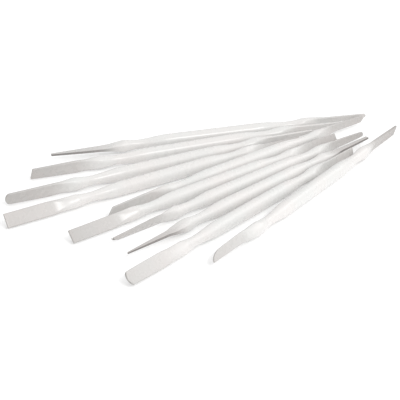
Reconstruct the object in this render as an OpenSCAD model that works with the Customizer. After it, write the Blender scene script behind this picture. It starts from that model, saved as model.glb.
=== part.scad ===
// Set of ten double-ended sculpting tools, lying loose side by side on the plane z = 0.
// Each tool is one solid moulding: a round handle in the middle, then at each end a neck,
// a bulge and a blade. No part of a tool reaches outside the cylinder of its handle, so a
// tool slides endwise through any hole that takes the handle.

/* [Handle] */
// Diameter of the round handle
handle_d = 6.7; // [6.2:0.1:6.8]
// Length of the straight middle of the handle
straight_l = 46; // [40:1:60]
// Diameter of the two necks
neck_d = 4.6; // [4:0.1:5.4]
// Distance between the two necks
neck_span = 76.5; // [72:0.5:80]
// How much smaller the two bulges are than the handle, in diameter
bulge_cut = 0.1; // [0.1:0.1:0.6]
// Distance between the two bulges
bulge_span = 100; // [96:0.5:104]

/* [Blades] */
// Thickness of a blade where it leaves its bulge
root_t = 1.5; // [1.2:0.1:2.2]
// Usual thickness of a blade at its tip
tip_t = 1.1; // [0.8:0.1:1.4]
// Usual length of a blade, from the middle of its bulge to its tip
blade_l = 30; // [28:0.5:34]
// Length over which a bulge flattens into its blade
flatten_l = 7; // [5:0.5:12]
// Length over which a bulge narrows to the width of its blade
narrow_l = 10; // [6:0.5:14]
// Tilt of the two facets of the ridged blade
ridge_tilt = 16; // [12:1:18]

/* [Hidden] */

plastic = "whitesmoke";
handle_r = handle_d / 2;
neck_r = neck_d / 2;
bulge_r = handle_r - bulge_cut / 2;
// The turned body is a little longer than the longest blade
body_l = bulge_span / 2 + blade_l + 3;
// An outline reaches back this far, past the other end of the tool
far_l = 2 * body_l;
// Half width of an outline where it must clear the whole tool
clear_r = handle_r + 0.4;
// The two outlines of a blade start to close this far before the middle of its bulge
narrow_lead = 3;
flatten_lead = 9;
blend_steps = 8;
arc_steps = 8;
$fn = 64;

// Smooth S-shaped step from point a to point b
function ease(a, b) = [
    for (i = [0:blend_steps])
        let (t = i / blend_steps)
        [a.x + (b.x - a.x) * t, a.y + (b.y - a.y) * (1 - cos(180 * t)) / 2]
];

function reversed(points) = [for (i = [len(points) - 1:-1:0]) points[i]];
function flipped(points) = [for (p = points) [p.x, -p.y]];

// Turned profile of one half of a tool, from the handle out to the tip, as [along, radius]
half_profile = concat(
    ease([straight_l / 2, handle_r], [neck_span / 2, neck_r]),
    ease([neck_span / 2, neck_r], [bulge_span / 2, bulge_r]),
    [[body_l, bulge_r], [body_l, 0]]
);

// Ends of blades, as points from the +Y edge round to the -Y edge: x is measured on from the
// tip of the blade and y runs across it
function square_end(w) = [[0, w / 2], [0, -w / 2]];
function round_end(w, depth) = [
    for (i = [0:arc_steps])
        let (turn = 90 - 180 * i / arc_steps)
        [depth * (cos(turn) - 1), w / 2 * sin(turn)]
];
// The +Y edge, at y = a, curves across to meet the straight -Y edge, at y = -b
function belly_end(a, b, depth) = [
    for (i = [0:arc_steps])
        let (turn = 90 - 90 * i / arc_steps)
        [depth * (cos(turn) - 1), (a + b) * sin(turn) - b]
];

// Plan outline that trims one blade and clears the rest of the tool. Where the bulge has
// narrowed, the blade's edges stand at y = a and y = -b.
module plan_outline(a, b, end, extra) {
    edge_a = ease([-narrow_lead, clear_r], [narrow_l, a]);
    edge_b = flipped(ease([-narrow_lead, clear_r], [narrow_l, b]));
    tip = [for (p = end) [blade_l + extra + p.x, p.y]];
    polygon(concat([[-far_l, clear_r]], edge_a, tip, reversed(edge_b), [[-far_l, -clear_r]]));
}

// Side outline that flattens one blade and clears the rest of the tool
module side_outline(tip_t) {
    edge = concat(
        ease([-flatten_lead, clear_r], [flatten_l, root_t / 2]),
        [[blade_l, tip_t / 2], [body_l, tip_t / 2]]
    );
    polygon(concat([[-far_l, clear_r]], edge, reversed(flipped(edge)), [[-far_l, -clear_r]]));
}

// The space that one end of a tool may fill: its blade points along +X and lies flat.
// extra makes this blade longer than usual, and t is its thickness at the tip.
module blade(a, b, end, extra = 0, t = tip_t, facet_tilts = [0]) {
    translate([bulge_span / 2, 0, 0])
        intersection() {
            linear_extrude(4 * clear_r, center = true)
                plan_outline(a, b, end, extra);
            intersection_for (tilt = facet_tilts)
                rotate([90 + tilt, 0, 0])
                    linear_extrude(4 * clear_r, center = true)
                        side_outline(t);
        }
}

// Rolls a blade about the tool's axis: 0 lies flat, 90 stands on its -Y edge
module right_end(roll) {
    rotate([roll, 0, 0])
        children();
}

module left_end(roll) {
    rotate([roll, 0, 0])
        mirror([1, 0, 0])
            children();
}

// The turned body of a tool, along X
module turned_body() {
    other_half = reversed([for (p = half_profile) [-p.x, p.y]]);
    rotate([0, 90, 0])
        rotate_extrude()
            polygon([for (p = concat(half_profile, other_half)) [p.y, p.x]]);
}

// A tool with its middle at x, y. Its right end points along heading, and its ends are the children.
module tool(x, y, heading) {
    color(plastic)
        translate([x, y, handle_r])
            rotate([0, 0, heading])
                intersection() {
                    turned_body();
                    children(0);
                    children(1);
                }
}

module taper_point_tool() {
    tool(x = 1.55, y = 59.2, heading = 16.8) {
        left_end(roll = 0)
            blade(a = 2.2, b = 2.2, end = square_end(w = 1.4), extra = 1);
        right_end(roll = 90)
            blade(a = 2.1, b = 1, end = [[-0.7, 1.6], [0, 1], [0, 0.2], [-0.7, -0.4]]);
    }
}

module square_blade_tool() {
    tool(x = -9.05, y = 44.4, heading = 21.7) {
        left_end(roll = 98)
            blade(a = 2.9, b = 3.1, end = [[-1, 2.3], [0, -2.8]]);
        right_end(roll = 98)
            blade(a = 2, b = 2, end = square_end(w = 1.5));
    }
}

module round_end_spatula() {
    tool(x = -20.85, y = 26, heading = 28.2) {
        left_end(roll = 98)
            blade(a = 2.8, b = 3.1, end = round_end(w = 5.3, depth = 2));
        right_end(roll = 98)
            blade(a = 2, b = 2, end = square_end(w = 1.5));
    }
}

module wide_chisel_tool() {
    tool(x = -22.05, y = 12.2, heading = 33.8) {
        left_end(roll = 52)
            blade(a = 3.4, b = 3.4, end = square_end(w = 6.8));
        right_end(roll = 52)
            blade(a = 1.6, b = 1.6, end = square_end(w = 1.5), extra = -2);
    }
}

module slant_knife_tool() {
    tool(x = 15.65, y = 27.2, heading = 40.3) {
        left_end(roll = 85)
            blade(a = 2.6, b = 2.8, end = [[-3, 1.9], [0, -2]]);
        right_end(roll = 85)
            blade(a = 2.8, b = 0.8, end = [[-0.9, 2.2], [0, 0.6], [-2, -1]], extra = -0.4);
    }
}

module flat_scraper_tool() {
    tool(x = 1.65, y = 5, heading = 39.9) {
        left_end(roll = 48)
            blade(a = 2.8, b = 3.3, end = [[0, 2.7], [0, -3.3]], extra = -0.3);
        right_end(roll = 55)
            blade(a = 3, b = 3, end = square_end(w = 5.8), extra = -3);
    }
}

module ridge_knife_tool() {
    tool(x = 16.85, y = 6.9, heading = 43.2) {
        left_end(roll = 106)
            blade(
                a = 2.6,
                b = 3.1,
                end = [[0, -0.1], [-6.4, -3]],
                extra = 1.3,
                facet_tilts = [-ridge_tilt, ridge_tilt]
            );
        right_end(roll = 75)
            blade(a = 2.2, b = 1.5, end = round_end(w = 2.4, depth = 1.2), extra = -1.3);
    }
}

module needle_point_tool() {
    tool(x = 20.65, y = -2.3, heading = 46.3) {
        left_end(roll = 0)
            blade(a = 1.4, b = 1.4, end = square_end(w = 0.7), extra = 0.5, t = 0.9);
        right_end(roll = 0)
            blade(a = 1.6, b = 1, end = [[0, 1.2], [0, -0.7]], extra = 0.4, t = 1);
    }
}

module broad_round_spatula() {
    tool(x = 16.65, y = -20.8, heading = 50.4) {
        left_end(roll = 45)
            blade(a = 3.4, b = 3.4, end = round_end(w = 6.2, depth = 2), extra = -0.5);
        right_end(roll = 76)
            blade(a = 2, b = 2, end = square_end(w = 3.6), extra = -0.8);
    }
}

module butter_knife_tool() {
    tool(x = 45.25, y = -0.8, heading = 55.3) {
        left_end(roll = 50)
            blade(a = 2.9, b = 1.4, end = belly_end(a = 2.7, b = 1.2, depth = 9));
        right_end(roll = 100)
            blade(a = 2.8, b = 1.9, end = [[0, 2.6], [-1.6, -1.9]]);
    }
}

taper_point_tool();
square_blade_tool();
round_end_spatula();
wide_chisel_tool();
slant_knife_tool();
flat_scraper_tool();
ridge_knife_tool();
needle_point_tool();
broad_round_spatula();
butter_knife_tool();
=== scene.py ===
"""Ten loose double-ended sculpting tools, moulded in white plastic, fanned out on a white table."""
import math
import bmesh
import bpy
import numpy as np
from mathutils import Matrix, Vector


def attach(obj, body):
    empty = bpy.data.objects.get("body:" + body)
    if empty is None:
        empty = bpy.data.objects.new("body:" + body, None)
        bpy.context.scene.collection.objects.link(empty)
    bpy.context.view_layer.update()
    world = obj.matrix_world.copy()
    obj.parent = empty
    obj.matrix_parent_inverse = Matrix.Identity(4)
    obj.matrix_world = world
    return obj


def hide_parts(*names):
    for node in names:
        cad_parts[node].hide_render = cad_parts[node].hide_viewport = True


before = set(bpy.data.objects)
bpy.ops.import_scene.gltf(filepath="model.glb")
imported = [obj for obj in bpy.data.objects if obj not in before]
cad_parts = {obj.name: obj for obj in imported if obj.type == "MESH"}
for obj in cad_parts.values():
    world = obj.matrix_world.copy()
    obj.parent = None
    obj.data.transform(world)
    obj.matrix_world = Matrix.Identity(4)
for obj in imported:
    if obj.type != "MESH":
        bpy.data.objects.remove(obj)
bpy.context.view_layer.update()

MM = 0.001

# ---------------------------------------------------------------- sizes, in mm, as in the CAD
HANDLE_R = 3.35
STRAIGHT = 23.0        # half the straight length of a handle
NECK_AT, NECK_R = 38.25, 2.3
BULGE_AT, BULGE_R = 50.0, 3.3
CLEAR_R = 3.75
ROOT_HALF, TIP_HALF = 0.75, 0.55
BLADE_L = 30.0
FLATTEN = (-9.0, 7.0)  # from the middle of the bulge: where a blade's flats start and end
NARROW = (-3.0, 10.0)  # and its two edges
FLATS_END = 1.2        # the flats run on past the tip, to this share of their length
EDGES_END = 1.5        # and the two edges to this share of theirs
EDGE_R = 0.24          # rounding of a moulded edge
RUN_OUT_R = 1.7        # softer rounding where a bulge flattens into its blade
RUN_OUT = (-7, -1, 1, 10)  # where that rounding starts, is full, starts to fade and has gone
RIDGE_EDGE_R = 0.08    # rounding of the edges of a ridged blade
THIN_SHARE = 0.5       # no edge is rounded by more than this share of its half thickness
SKIN = 0.012           # the moulding stays this far inside the CAD solid
FAR_INSIDE = -99.0     # stands for a cut that is nowhere near
TINY = 1e-9            # keeps a division away from zero

# ---------------------------------------------------------------- blade ends


def line_end(points):
    """A tip of straight cuts, through points (x from the tip, y across), from the +Y edge on."""
    pts = np.array(points, float)
    order = np.argsort(pts[:, 1])
    ys, xs = pts[order, 1], pts[order, 0]

    def tip(v):
        return np.interp(v, ys, xs)

    def inside(x, v):
        """Signed distance to the cuts, negative inside."""
        d = np.full(np.broadcast(x, v).shape, FAR_INSIDE)
        for (xa, ya), (xb, yb) in zip(points[:-1], points[1:]):
            n = np.array([ya - yb, xb - xa])
            n = n / np.linalg.norm(n)
            d = round_cut(d, (x - xa) * n[0] + (v - ya) * n[1], EDGE_R)
        return d
    return {"tip": tip, "inside": inside, "a": points[0][1], "b": -points[-1][1],
            "xa": points[0][0], "xb": points[-1][0]}


def square_end(w):
    return line_end([(0, w / 2), (0, -w / 2)])


def oval(x, v, depth, half, low):
    """Distance, to first order, to an oval centred at (-depth, low), with half axes depth, half."""
    fx, fv = (x + depth) / depth, (v - low) / half
    f = fx * fx + fv * fv - 1
    slope = 2 * np.sqrt((fx / depth) ** 2 + (fv / half) ** 2) + TINY
    return np.where(x > -depth, f / slope, FAR_INSIDE)


def round_end(w, depth):
    """A tip of width w, rounded over depth."""
    def tip(v):
        return depth * (np.sqrt(np.clip(1 - (2 * v / w) ** 2, 0, 1)) - 1)

    def inside(x, v):
        return oval(x, v, depth, w / 2, 0.0)
    return {"tip": tip, "inside": inside, "a": w / 2, "b": w / 2, "xa": -depth, "xb": -depth}


def belly_end(a, b, depth):
    """A tip whose +Y edge curves over depth to meet its straight -Y edge."""
    def tip(v):
        return depth * (np.sqrt(np.clip(1 - ((v + b) / (a + b)) ** 2, 0, 1)) - 1)

    def inside(x, v):
        return round_cut(oval(x, v, depth, a + b, -b), x, EDGE_R)
    return {"tip": tip, "inside": inside, "a": a, "b": b, "xa": -depth, "xb": 0.0}


def blade(roll, a, b, end, extra=0.0, t=TIP_HALF, ridge=0.0, shade_factor=1.0):
    """One end of a tool. Its thin blade carries painted shade, as much as the thin shade colour
    gives times a factor set for each blade to how light falls on it.
    """
    return {"roll": roll, "a": a, "b": b, "end": end, "l": BLADE_L + extra, "t": t, "ridge": ridge,
            "shade_factor": shade_factor}


# ---------------------------------------------------------------- the tool's solid


def ease(x, x0, y0, x1, y1):
    """Smooth step from y0 at x0 to y1 at x1."""
    s = np.clip((x - x0) / (x1 - x0), 0, 1)
    return y0 + (y1 - y0) * (1 - np.cos(np.pi * s)) / 2


def round_cut(p, q, r):
    """The part inside both p and q, with its edge rounded to r. It never reaches outside either."""
    corner = np.hypot(np.maximum(p + r, 0), np.maximum(q + r, 0))
    return np.minimum(-r, np.maximum(p, q)) + corner


def smooth(t):
    return t * t * (3 - 2 * t)


def body_radius(s):
    """Radius of the turned body at s from the middle of the handle."""
    s = np.abs(s)
    outer = ease(s, NECK_AT, NECK_R, BULGE_AT, BULGE_R)
    return np.where(s < NECK_AT, ease(s, STRAIGHT, HANDLE_R, NECK_AT, NECK_R), outer) - SKIN


def half_thickness(u, k):
    """Of a blade, at u from the middle of its bulge."""
    flat = ease(u, FLATTEN[0], CLEAR_R, FLATTEN[1], ROOT_HALF)
    along = np.clip((u - FLATTEN[1]) / (BLADE_L - FLATTEN[1]), 0, FLATS_END)
    return np.where(u < FLATTEN[1], flat, ROOT_HALF + (k["t"] - ROOT_HALF) * along) - SKIN


def half_width(u, k, side):
    """Of a blade, on its side "a" or "b", at u from the middle of its bulge."""
    full = k[side]
    start = ease(u, NARROW[0], CLEAR_R, NARROW[1], full)
    reach = k["l"] + k["end"]["x" + side] - NARROW[1]
    along = np.clip((u - NARROW[1]) / reach, 0, EDGES_END)
    return np.where(u < NARROW[1], start, full + (k["end"][side] - full) * along) - SKIN


def blend(u):
    """Rounding between a blade and the turned body."""
    start, full, fade, gone = RUN_OUT
    rise = ease(u, start, EDGE_R, full, RUN_OUT_R)
    return np.where(u < fade, rise, ease(u, fade, RUN_OUT_R, gone, EDGE_R))


def solid(u, v, w, k):
    """Signed distance to one end of a tool: u from its bulge to its tip, v across, w through."""
    tilt = math.radians(k["ridge"])
    flats = np.abs(w) * math.cos(tilt) + np.abs(v) * math.sin(tilt) - half_thickness(u, k)
    plan = round_cut(v - half_width(u, k, "a"), -v - half_width(u, k, "b"), EDGE_R)
    plan = round_cut(plan, k["end"]["inside"](u - k["l"] + SKIN, v), EDGE_R)
    if tilt:
        edge_r = RIDGE_EDGE_R
    else:
        edge_r = np.minimum(blend(u), THIN_SHARE * half_thickness(u, k))
    cut = round_cut(plan, flats, edge_r)
    return round_cut(cut, np.hypot(v, w) - body_radius(u + BULGE_AT), blend(u))


# ---------------------------------------------------------------- the mesh: rings along a tool
AROUND = 64            # points in a ring
SIDE = AROUND // 8     # of them, segments along each edge of a blade
FLAT = AROUND // 2 - SIDE
EDGE_POINTS = set(range(FLAT + 1, FLAT + SIDE)) | set(range(2 * FLAT + SIDE + 1, AROUND))
BEND_FROM = 12.0       # past this, rings bend to follow the tip's outline
FILLET_TURNS = np.array([90, 68, 46, 26, 10])  # where rings stand on the rounding of a tip
TWIST_HALF = 19.0      # half the stretch of handle where rings turn from one roll to the other
TWIST_STEPS = 12
NORMAL_WEIGHT = 50     # of the WEIGHTED_NORMAL modifier, where faces count by their area
ROUND_SHARE = 0.6      # a ring is all box where it is this share flatter than the handle
HALVINGS = 34          # steps of the search for the solid's surface
REACH = 2.0            # which starts with this many times the ring's own size
SHADE_SPAN = (-4, 9)        # from the middle of the bulge: where the painted shade on a blade starts and where it has fully risen
SHADE_AT_ROOT = 0.6        # share of a blade's painted shade at its root, where its tip gets all of it


def ring_template():
    """The ring's points as (across, up) on a circle and on a box, from the +Y top corner round."""
    turn = 2 * np.pi * (np.arange(AROUND) + SIDE / 2) / AROUND
    circle = np.stack([np.cos(turn), np.sin(turn)], 1)
    half_side = math.pi * SIDE / AROUND
    corner = math.cos(half_side), math.sin(half_side)
    box = np.clip(circle / np.array(corner), -1, 1)
    return circle, box


def stations(k):
    """Rings of one half, from its handle out: (u at the axis, share of the tip's shape)."""
    plain = np.concatenate([
        [-BULGE_AT, 3 - BULGE_AT + TWIST_HALF],  # the handle's middle, and past the twist
        np.arange(-27.0, -10.0, 0.85),           # the end of the handle and the neck
        np.arange(-9.5, 7.6, 0.45),              # closer together over the run-out
        np.linspace(8.2, BEND_FROM, 6),
    ])
    reach = k["l"] - BEND_FROM
    # then by the distance that is left to the tip, down to the rounding of the tip itself
    fillet = EDGE_R * (1 - np.cos(np.radians(FILLET_TURNS)))
    to_go = np.concatenate([np.linspace(reach, 1.6, 14)[1:], [1.1, 0.7, 0.42], fillet])
    return [(u, 0.0) for u in plain] + [(BEND_FROM + reach - d, 1 - d / reach) for d in to_go]


def rings(k):
    """All rings of one end, as points (u, v, w) in an array of rings by AROUND by 3."""
    end = k["end"]
    table = np.array(stations(k))
    u, share = table[:, :1], table[:, 1:]
    body = body_radius(u + BULGE_AT)
    width_a = np.minimum(half_width(u + share * end["xa"], k, "a"), body)
    width_b = np.minimum(half_width(u + share * end["xb"], k, "b"), body)
    height = np.minimum(half_thickness(u, k), body)
    flatness = smooth(np.clip((1 - height / HANDLE_R) / ROUND_SHARE, 0, 1))
    circle, box = ring_template()
    across = circle[:, 0] * (1 - flatness) + box[:, 0] * flatness
    up = circle[:, 1] * (1 - flatness) + box[:, 1] * flatness
    middle, half = (width_a - width_b) / 2, (width_a + width_b) / 2

    def at(t):
        """The ring's points at t times its own size."""
        v = middle + half * across * t
        bend = share * end["tip"](np.clip(v, -end["b"], end["a"]))
        return u + bend, v, height * up * t

    low, high = np.zeros(across.shape), np.full(across.shape, REACH)
    for _ in range(HALVINGS):
        mid = (low + high) / 2
        out = solid(*at(mid), k) > 0
        high = np.where(out, mid, high)
        low = np.where(out, low, mid)
    return np.stack(at(low), 2)


def rolled(points, degrees):
    """Turns points (x, y, z) about the tool's axis."""
    c, s = math.cos(math.radians(degrees)), math.sin(math.radians(degrees))
    x, y, z = points.T
    return np.stack([x, c * y - s * z, s * y + c * z], 1)


def cap(bm, loop):
    """Closes an end ring with a grid: FLAT quads across and SIDE through."""
    top = loop[:FLAT + 1]
    far = loop[FLAT:FLAT + SIDE + 1]
    bottom = loop[FLAT + SIDE:2 * FLAT + SIDE + 1][::-1]
    near = ([loop[0]] + loop[:2 * FLAT + SIDE - 1:-1])[:SIDE + 1]
    grid = [top]
    for r in range(1, SIDE):
        f = r / SIDE
        row = [near[r]]
        for c in range(1, FLAT):
            row.append(bm.verts.new(top[c].co.lerp(bottom[c].co, f)))
        row.append(far[r])
        grid.append(row)
    grid.append(bottom)
    for a, b in zip(grid[:-1], grid[1:]):
        for c in range(FLAT):
            bm.faces.new((a[c], b[c], b[c + 1], a[c + 1]))


def thin_blade_shade(x, k):
    """Weight of the painted shade: 0 on the round body, rising over the run-out of blade k to 1 at
    its tip.
    """
    u = abs(x) - BULGE_AT
    start, end = SHADE_SPAN
    on_blade = smooth(min(max((u - start) / (end - start), 0), 1))
    return on_blade * (SHADE_AT_ROOT + (1 - SHADE_AT_ROOT) * min(max(u / k["l"], 0), 1))


def moulding(name, left, right):
    """A tool along X: rings from the left tip to the right tip, closed at both."""
    loops = []
    for side, k in ((-1, left), (1, right)):
        half = rings(k)[1:] + np.array([BULGE_AT, 0, 0])
        loops += [rolled(p * np.array([side, 1, 1]), k["roll"]) for p in half]
    # the two blades of a tool stand at different rolls, and the round handle takes up the twist
    middle = rings(right)[0] * np.array([0, 1, 1])
    turn = right["roll"] - left["roll"]
    for i in range(TWIST_STEPS + 1):
        share = i / TWIST_STEPS
        x = (2 * share - 1) * TWIST_HALF
        loops.append(rolled(middle + np.array([x, 0, 0]), left["roll"] + turn * share))
    loops.sort(key=lambda q: q[:, 0].mean())
    bm = bmesh.new()
    verts = [[bm.verts.new(Vector(v) * MM) for v in q] for q in loops]
    for a, b in zip(verts[:-1], verts[1:]):
        for i in range(AROUND):
            j = (i + 1) % AROUND
            bm.faces.new((a[i], b[i], b[j], a[j]))
    cap(bm, verts[0])
    cap(bm, verts[-1])
    bmesh.ops.recalc_face_normals(bm, faces=bm.faces)
    mesh = bpy.data.meshes.new(name)
    bm.to_mesh(mesh)
    bm.free()
    blade_shades, edges = [], []
    for i, v in enumerate(mesh.vertices):
        k = right if v.co.x > 0 else left
        shade_weight = thin_blade_shade(v.co.x / MM, k)
        # painted shade on the thin blades, scaled for each blade
        blade_shades.append(shade_weight * k["shade_factor"])
        # the narrow edge of a blade that lies flat is in the blade's own shadow
        edges.append(shade_weight if k["roll"] == 0 and i % AROUND in EDGE_POINTS else 0.0)
    for attribute, values in (("thin_blade_shade", blade_shades), ("edge", edges)):
        mesh.attributes.new(attribute, "FLOAT", "POINT").data.foreach_set("value", values)
    mesh.polygons.foreach_set("use_smooth", [True] * len(mesh.polygons))
    return bpy.data.objects.new(name, mesh)


# ---------------------------------------------------------------- the ten tools
# node: (x, y, heading of the right end, left end, right end)
TOOLS = {
    "taper_point_tool": (1.55, 59.2, 16.8,
                         blade(0, 2.2, 2.2, square_end(1.4), extra=1, shade_factor=0.75),
                         blade(90, 2.1, 1, line_end([(-0.7, 1.6), (0, 1), (0, 0.2), (-0.7, -0.4)]),
                               shade_factor=0.6)),
    "square_blade_tool": (-9.05, 44.4, 21.7,
                          blade(98, 2.9, 3.1, line_end([(-1, 2.3), (0, -2.8)])),
                          blade(98, 2, 2, square_end(1.5), shade_factor=0.3)),
    "round_end_spatula": (-20.85, 26, 28.2,
                          blade(98, 2.8, 3.1, round_end(5.3, 2)),
                          blade(98, 2, 2, square_end(1.5), shade_factor=0.3)),
    "wide_chisel_tool": (-22.05, 12.2, 33.8,
                         blade(52, 3.4, 3.4, square_end(6.8)),
                         blade(52, 1.6, 1.6, square_end(1.5), extra=-2)),
    "slant_knife_tool": (15.65, 27.2, 40.3,
                         blade(85, 2.6, 2.8, line_end([(-3, 1.9), (0, -2)]), shade_factor=0.7),
                         blade(85, 2.8, 0.8, line_end([(-0.9, 2.2), (0, 0.6), (-2, -1)]),
                               extra=-0.4)),
    "flat_scraper_tool": (1.65, 5, 39.9,
                          blade(48, 2.8, 3.3, line_end([(0, 2.7), (0, -3.3)]), extra=-0.3),
                          blade(55, 3, 3, square_end(5.8), extra=-3)),
    "ridge_knife_tool": (16.85, 6.9, 43.2,
                         blade(106, 2.6, 3.1, line_end([(0, -0.1), (-6.4, -3)]),
                               extra=1.3, ridge=16),
                         blade(75, 2.2, 1.5, round_end(2.4, 1.2), extra=-1.3)),
    "needle_point_tool": (20.65, -2.3, 46.3,
                          blade(0, 1.4, 1.4, square_end(0.7), extra=0.5, t=0.45),
                          blade(0, 1.6, 1, line_end([(0, 1.2), (0, -0.7)]), extra=0.4, t=0.5)),
    "broad_round_spatula": (16.65, -20.8, 50.4,
                            blade(45, 3.4, 3.4, round_end(6.2, 2), extra=-0.5, shade_factor=0.8),
                            blade(76, 2, 2, square_end(3.6), extra=-0.8, shade_factor=0.6)),
    "butter_knife_tool": (45.25, -0.8, 55.3,
                          blade(50, 2.9, 1.4, belly_end(2.7, 1.2, 9), shade_factor=0.75),
                          blade(100, 2.8, 1.9, line_end([(0, 2.6), (-1.6, -1.9)]), shade_factor=1.35)),
}

# ---------------------------------------------------------------- plastic
THICK = (0.69, 0.682, 0.672, 1)   # colour where the plastic is thick
THIN_SHADE = (0.44, 0.421, 0.409, 1)    # painted shade where the plastic is thin, at a factor of 1
EDGE = (0.2, 0.185, 0.18, 1)      # and on the edge of a blade that lies flat
WARM = (1.0, 0.982, 0.974, 1)     # the two tints that it drifts between
COOL = (0.975, 0.985, 0.98, 1)
DRIFT_RAMP = (0.35, 0.65)         # values of the noise where the tint is all warm and all cool
IOR = 1.5
ROUGHNESS = (0.22, 0.33)
# noises, as (scale, detail, roughness)
DRIFT_NOISE = (60, 3, 0.5)
GLOSS_NOISE = (260, 4, 0.6)
SINK_NOISE = (110, 2, 0.5)
GRAIN_NOISE = (2600, 3, 0.5)
# bumps, as (strength, height in metres)
SINK_BUMP = (0.18, 0.0004)
GRAIN_BUMP = (0.12, 0.00006)
SEED_STEP = (0.37, 0.11, 0.23)    # how far the noises move from one tool to the next


def plastic(name, seed):
    """White plastic: painted shade on thin blades and painted shadow on the edges of blades that
    lie flat, faintly mottled, with sink marks and a fine grain.
    """
    mat = bpy.data.materials.new(name)
    mat.use_nodes = True
    nt = mat.node_tree
    nodes, links = nt.nodes, nt.links
    bsdf = nodes["Principled BSDF"]
    bsdf.inputs["IOR"].default_value = IOR

    def node(kind, **settings):
        n = nodes.new(kind)
        for key, value in settings.items():
            setattr(n, key, value)
        return n

    coords = node("ShaderNodeTexCoord")
    shift = node("ShaderNodeMapping")
    shift.inputs["Location"].default_value = [seed * step for step in SEED_STEP]
    links.new(coords.outputs["Object"], shift.inputs["Vector"])

    def noise(scale, detail, rough):
        n = node("ShaderNodeTexNoise", noise_dimensions="3D")
        n.inputs["Scale"].default_value = scale
        n.inputs["Detail"].default_value = detail
        n.inputs["Roughness"].default_value = rough
        links.new(shift.outputs["Vector"], n.inputs["Vector"])
        return n.outputs["Fac"]

    def bump(strength, distance, height):
        n = node("ShaderNodeBump")
        n.inputs["Strength"].default_value = strength
        n.inputs["Distance"].default_value = distance
        links.new(height, n.inputs["Height"])
        return n

    # painted shade: thin blades are mixed towards a darker colour
    shade_weight = node("ShaderNodeAttribute", attribute_name="thin_blade_shade")
    body = node("ShaderNodeMix", data_type="RGBA", clamp_factor=False)
    body.inputs["A"].default_value = THICK
    body.inputs["B"].default_value = THIN_SHADE
    links.new(shade_weight.outputs["Fac"], body.inputs["Factor"])
    rim = node("ShaderNodeAttribute", attribute_name="edge")
    rimmed = node("ShaderNodeMix", data_type="RGBA")
    rimmed.inputs["B"].default_value = EDGE
    links.new(rim.outputs["Fac"], rimmed.inputs["Factor"])
    links.new(body.outputs["Result"], rimmed.inputs["A"])
    # slow drift between a warm and a cool white, as in resin that isn't fully mixed
    drift = node("ShaderNodeValToRGB")
    for stop, position, tint in zip(drift.color_ramp.elements, DRIFT_RAMP, (WARM, COOL)):
        stop.position, stop.color = position, tint
    links.new(noise(*DRIFT_NOISE), drift.inputs["Fac"])
    tinted = node("ShaderNodeMix", data_type="RGBA", blend_type="MULTIPLY")
    tinted.inputs["Factor"].default_value = 1.0
    links.new(rimmed.outputs["Result"], tinted.inputs["A"])
    links.new(drift.outputs["Color"], tinted.inputs["B"])
    links.new(tinted.outputs["Result"], bsdf.inputs["Base Color"])

    rough = node("ShaderNodeMapRange")
    rough.inputs["To Min"].default_value, rough.inputs["To Max"].default_value = ROUGHNESS
    links.new(noise(*GLOSS_NOISE), rough.inputs["Value"])
    links.new(rough.outputs["Result"], bsdf.inputs["Roughness"])

    sink = bump(*SINK_BUMP, noise(*SINK_NOISE))
    grain = bump(*GRAIN_BUMP, noise(*GRAIN_NOISE))
    links.new(sink.outputs["Normal"], grain.inputs["Normal"])
    links.new(grain.outputs["Normal"], bsdf.inputs["Normal"])
    return mat


for seed, (node, (x, y, heading, left, right)) in enumerate(TOOLS.items()):
    piece = moulding(node.replace("_tool", "") + "_moulding", left, right)
    bpy.context.collection.objects.link(piece)
    turned = Matrix.Rotation(math.radians(heading), 4, "Z")
    piece.data.transform(Matrix.Translation(Vector((x, y, HANDLE_R)) * MM) @ turned)
    weighted = piece.modifiers.new("even_normals", "WEIGHTED_NORMAL")
    weighted.weight = NORMAL_WEIGHT
    piece.data.materials.append(plastic(f"white_plastic_{seed}", seed))
    bpy.context.view_layer.update()
    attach(piece, node)
    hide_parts(node)

# ---------------------------------------------------------------- table, light and camera
TABLE = 6.0                       # side of the table top
TABLE_WHITE = (0.8, 0.8, 0.8, 1)
TABLE_ROUGHNESS = 0.6
TABLE_GLOW = 0.22                 # lifts the table to the blown-out white of a product photo
WHITE = (1, 1, 1, 1)
WORLD_STRENGTH = 0.8
CAMERA_AT = (-0.00545, -0.5296, 0.2623)
CAMERA_DOWN = 26.58               # how far it looks down, in degrees
LENS, SENSOR = 118.08, 36
CLIP = (0.01, 20)


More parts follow.
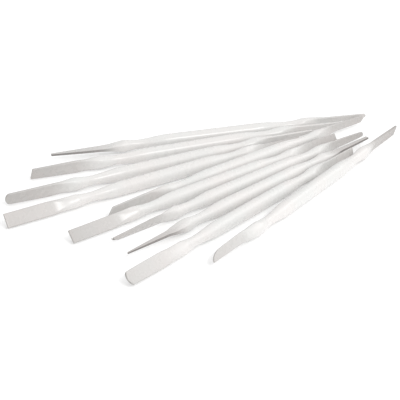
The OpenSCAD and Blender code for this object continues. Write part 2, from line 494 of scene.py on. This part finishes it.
def table():
    bm = bmesh.new()
    bmesh.ops.create_grid(bm, x_segments=4, y_segments=4, size=TABLE / 2)
    mesh = bpy.data.meshes.new("table_top")
    bm.to_mesh(mesh)
    bm.free()
    obj = bpy.data.objects.new("table_top", mesh)
    mat = bpy.data.materials.new("table_white")
    mat.use_nodes = True
    bsdf = mat.node_tree.nodes["Principled BSDF"]
    bsdf.inputs["Base Color"].default_value = TABLE_WHITE
    bsdf.inputs["Roughness"].default_value = TABLE_ROUGHNESS
    bsdf.inputs["Emission Color"].default_value = WHITE
    bsdf.inputs["Emission Strength"].default_value = TABLE_GLOW
    mesh.materials.append(mat)
    bpy.context.collection.objects.link(obj)


table()


def area_light(name, place, size, power, roll=0):
    """A rectangle of light that faces the set, turned by roll about its own axis."""
    data = bpy.data.lights.new(name, "AREA")
    data.shape = "RECTANGLE"
    data.size, data.size_y = size
    data.energy = power
    obj = bpy.data.objects.new(name, data)
    bpy.context.collection.objects.link(obj)
    aimed = (-Vector(place)).to_track_quat("-Z", "Y").to_matrix().to_4x4()
    turned = Matrix.Rotation(math.radians(roll), 4, "Z")
    obj.matrix_world = Matrix.Translation(place) @ aimed @ turned


def toward(azimuth, elevation, distance):
    """A place seen from the set at that azimuth, from +X towards +Y, and elevation."""
    az, el = math.radians(azimuth), math.radians(elevation)
    flat = distance * math.cos(el)
    return flat * math.cos(az), flat * math.sin(az), distance * math.sin(el)


# name, place, size in metres, power in watts
area_light("side_strip", toward(16, 40, 2), (1.9, 0.75), 8)
area_light("front_key", toward(-48, 45, 2), (0.66, 0.24), 12, roll=29)
area_light("front_fill", toward(-80, 20, 2), (1.4, 0.6), 4)
area_light("overhead", (-0.15, 0.15, 1.1), (1.2, 1.0), 1.0)
scene = bpy.context.scene
world = bpy.data.worlds.new("studio")
world.use_nodes = True
background = world.node_tree.nodes["Background"]
background.inputs["Color"].default_value = WHITE
background.inputs["Strength"].default_value = WORLD_STRENGTH
scene.world = world
scene.view_settings.view_transform = "Standard"

cam = bpy.data.cameras.new("camera")
cam.lens = LENS
cam.sensor_width = SENSOR
cam.clip_start, cam.clip_end = CLIP
camera = bpy.data.objects.new("camera", cam)
bpy.context.collection.objects.link(camera)
camera.location = CAMERA_AT
camera.rotation_euler = (math.radians(90 - CAMERA_DOWN), 0, 0)
scene.camera = camera
